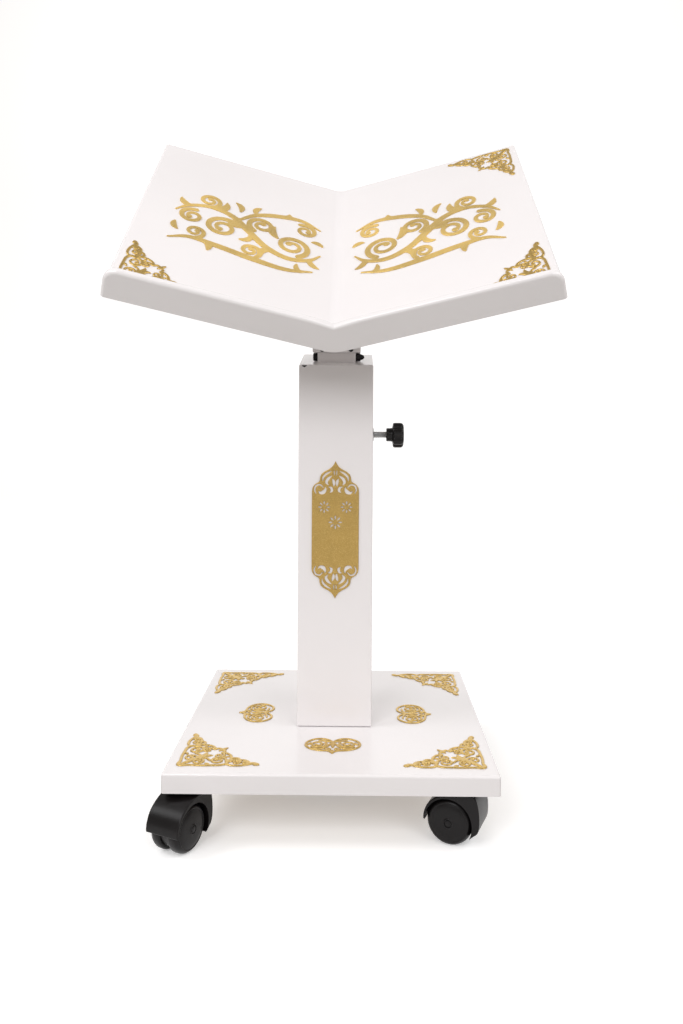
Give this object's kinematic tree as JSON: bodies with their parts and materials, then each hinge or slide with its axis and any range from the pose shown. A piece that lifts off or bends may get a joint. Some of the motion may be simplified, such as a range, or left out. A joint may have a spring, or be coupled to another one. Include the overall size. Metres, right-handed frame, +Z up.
{
  "type": "quran stand",
  "caption": "Height-adjustable book lectern: V-shaped tilted rest with a front ledge on a telescoping mast, clamped by a hand knob in a square column on a wheeled base.",
  "frame": {"origin": "on the floor under the middle of the base, which is also the bottom centre of the bounding box", "axes": "+Z up; the reader stands at -Y and the book rest faces -Y and up; the clamp knob is on the +X side; the wings spread along X"},
  "size_m": [0.4774, 0.4026, 0.8145],
  "materials": {
    "white_enamel": "glossy white powder-coated sheet steel",
    "fibre_board": "raw medium-density fibreboard",
    "zinc_steel": "zinc-plated steel",
    "white_nylon": "matte natural nylon",
    "black_nylon": "moulded black nylon",
    "black_steel": "black-oxide steel",
    "gold_sheet": "brushed gold-coloured sheet metal"
  },
  "bodies": {
    "base": {"base_tray": "white_enamel", "base_core_board": "fibre_board", "base_clamp_plate": "zinc_steel", "column_bolt_1": "zinc_steel", "column_bolt_2": "zinc_steel", "column_bolt_3": "zinc_steel", "column_bolt_4": "zinc_steel", "column_tube": "white_enamel", "column_foot_plate": "zinc_steel", "column_cap": "white_enamel", "guide_bush": "white_nylon", "clamp_nut": "zinc_steel", "column_plaque": "gold_sheet", "base_corner_ornament_front_left": "gold_sheet", "base_corner_ornament_front_right": "gold_sheet", "base_corner_ornament_rear_left": "gold_sheet", "base_corner_ornament_rear_right": "gold_sheet", "base_side_ornament_rear": "gold_sheet", "base_side_ornament_left": "gold_sheet", "base_side_ornament_front": "gold_sheet", "base_side_ornament_right": "gold_sheet", "caster_plate_front_left": "black_steel", "caster_plate_front_right": "black_steel", "caster_plate_rear_left": "black_steel", "caster_plate_rear_right": "black_steel"},
    "mast": {"mast_tube": "white_enamel", "mast_foot_glide": "white_nylon", "stop_bolt": "black_steel", "stop_nut": "black_steel", "post_screw_left": "black_steel", "post_screw_right": "black_steel", "rest_post": "white_enamel", "rest_saddle": "white_enamel", "book_rest": "white_enamel", "rest_corner_ornament_front_left": "gold_sheet", "rest_corner_ornament_front_right": "gold_sheet", "rest_corner_ornament_rear_right": "gold_sheet", "rest_inlay_left": "gold_sheet", "rest_inlay_right": "gold_sheet"},
    "knob": {"clamp_stud": "zinc_steel", "clamp_knob": "black_nylon"},
    "caster_front_left": {"caster_body_front_left": "black_nylon", "caster_axle_front_left": "zinc_steel"},
    "wheel_right_front_left": {"caster_wheel_right_front_left": "black_nylon"},
    "wheel_left_front_left": {"caster_wheel_left_front_left": "black_nylon"},
    "caster_front_right": {"caster_body_front_right": "black_nylon", "caster_axle_front_right": "zinc_steel"},
    "wheel_right_front_right": {"caster_wheel_right_front_right": "black_nylon"},
    "wheel_left_front_right": {"caster_wheel_left_front_right": "black_nylon"},
    "caster_rear_left": {"caster_body_rear_left": "black_nylon", "caster_axle_rear_left": "zinc_steel"},
    "wheel_right_rear_left": {"caster_wheel_right_rear_left": "black_nylon"},
    "wheel_left_rear_left": {"caster_wheel_left_rear_left": "black_nylon"},
    "caster_rear_right": {"caster_body_rear_right": "black_nylon", "caster_axle_rear_right": "zinc_steel"},
    "wheel_right_rear_right": {"caster_wheel_right_rear_right": "black_nylon"},
    "wheel_left_rear_right": {"caster_wheel_left_rear_right": "black_nylon"}
  },
  "joints": [
    {"name": "mast_lift", "type": "slide", "parent": "base", "child": "mast", "axis": [0, 0, 1], "range_m": [0, 0.28]},
    {"name": "knob_turn", "type": "hinge", "parent": "base", "child": "knob", "pos_m": [0, 0, 0.425], "axis": [1, 0, 0], "range_deg": [0, 360]},
    {"name": "swivel_front_left", "type": "hinge", "parent": "base", "child": "caster_front_left", "pos_m": [-0.149, -0.149, 0.05], "axis": [0, 0, 1], "continuous": true},
    {"name": "roll_right_front_left", "type": "hinge", "parent": "caster_front_left", "child": "wheel_right_front_left", "pos_m": [-0.15821, -0.16787, 0.0245], "axis": [-0.8988, 0.4384, 0], "continuous": true},
    {"name": "roll_left_front_left", "type": "hinge", "parent": "caster_front_left", "child": "wheel_left_front_left", "pos_m": [-0.15821, -0.16787, 0.0245], "axis": [-0.8988, 0.4384, 0], "continuous": true},
    {"name": "swivel_front_right", "type": "hinge", "parent": "base", "child": "caster_front_right", "pos_m": [0.149, -0.149, 0.05], "axis": [0, 0, 1], "continuous": true},
    {"name": "roll_right_front_right", "type": "hinge", "parent": "caster_front_right", "child": "wheel_right_front_right", "pos_m": [0.12953, -0.14113, 0.0245], "axis": [0.3746, 0.9272, 0], "continuous": true},
    {"name": "roll_left_front_right", "type": "hinge", "parent": "caster_front_right", "child": "wheel_left_front_right", "pos_m": [0.12953, -0.14113, 0.0245], "axis": [0.3746, 0.9272, 0], "continuous": true},
    {"name": "swivel_rear_left", "type": "hinge", "parent": "base", "child": "caster_rear_left", "pos_m": [-0.149, 0.149, 0.05], "axis": [0, 0, 1], "continuous": true},
    {"name": "roll_right_rear_left", "type": "hinge", "parent": "caster_rear_left", "child": "wheel_right_rear_left", "pos_m": [-0.15821, 0.16787, 0.0245], "axis": [0.8988, 0.4384, 0], "continuous": true},
    {"name": "roll_left_rear_left", "type": "hinge", "parent": "caster_rear_left", "child": "wheel_left_rear_left", "pos_m": [-0.15821, 0.16787, 0.0245], "axis": [0.8988, 0.4384, 0], "continuous": true},
    {"name": "swivel_rear_right", "type": "hinge", "parent": "base", "child": "caster_rear_right", "pos_m": [0.149, 0.149, 0.05], "axis": [0, 0, 1], "continuous": true},
    {"name": "roll_right_rear_right", "type": "hinge", "parent": "caster_rear_right", "child": "wheel_right_rear_right", "pos_m": [0.12953, 0.14113, 0.0245], "axis": [-0.3746, 0.9272, 0], "continuous": true},
    {"name": "roll_left_rear_right", "type": "hinge", "parent": "caster_rear_right", "child": "wheel_left_rear_right", "pos_m": [0.12953, 0.14113, 0.0245], "axis": [-0.3746, 0.9272, 0], "continuous": true}
  ]
}
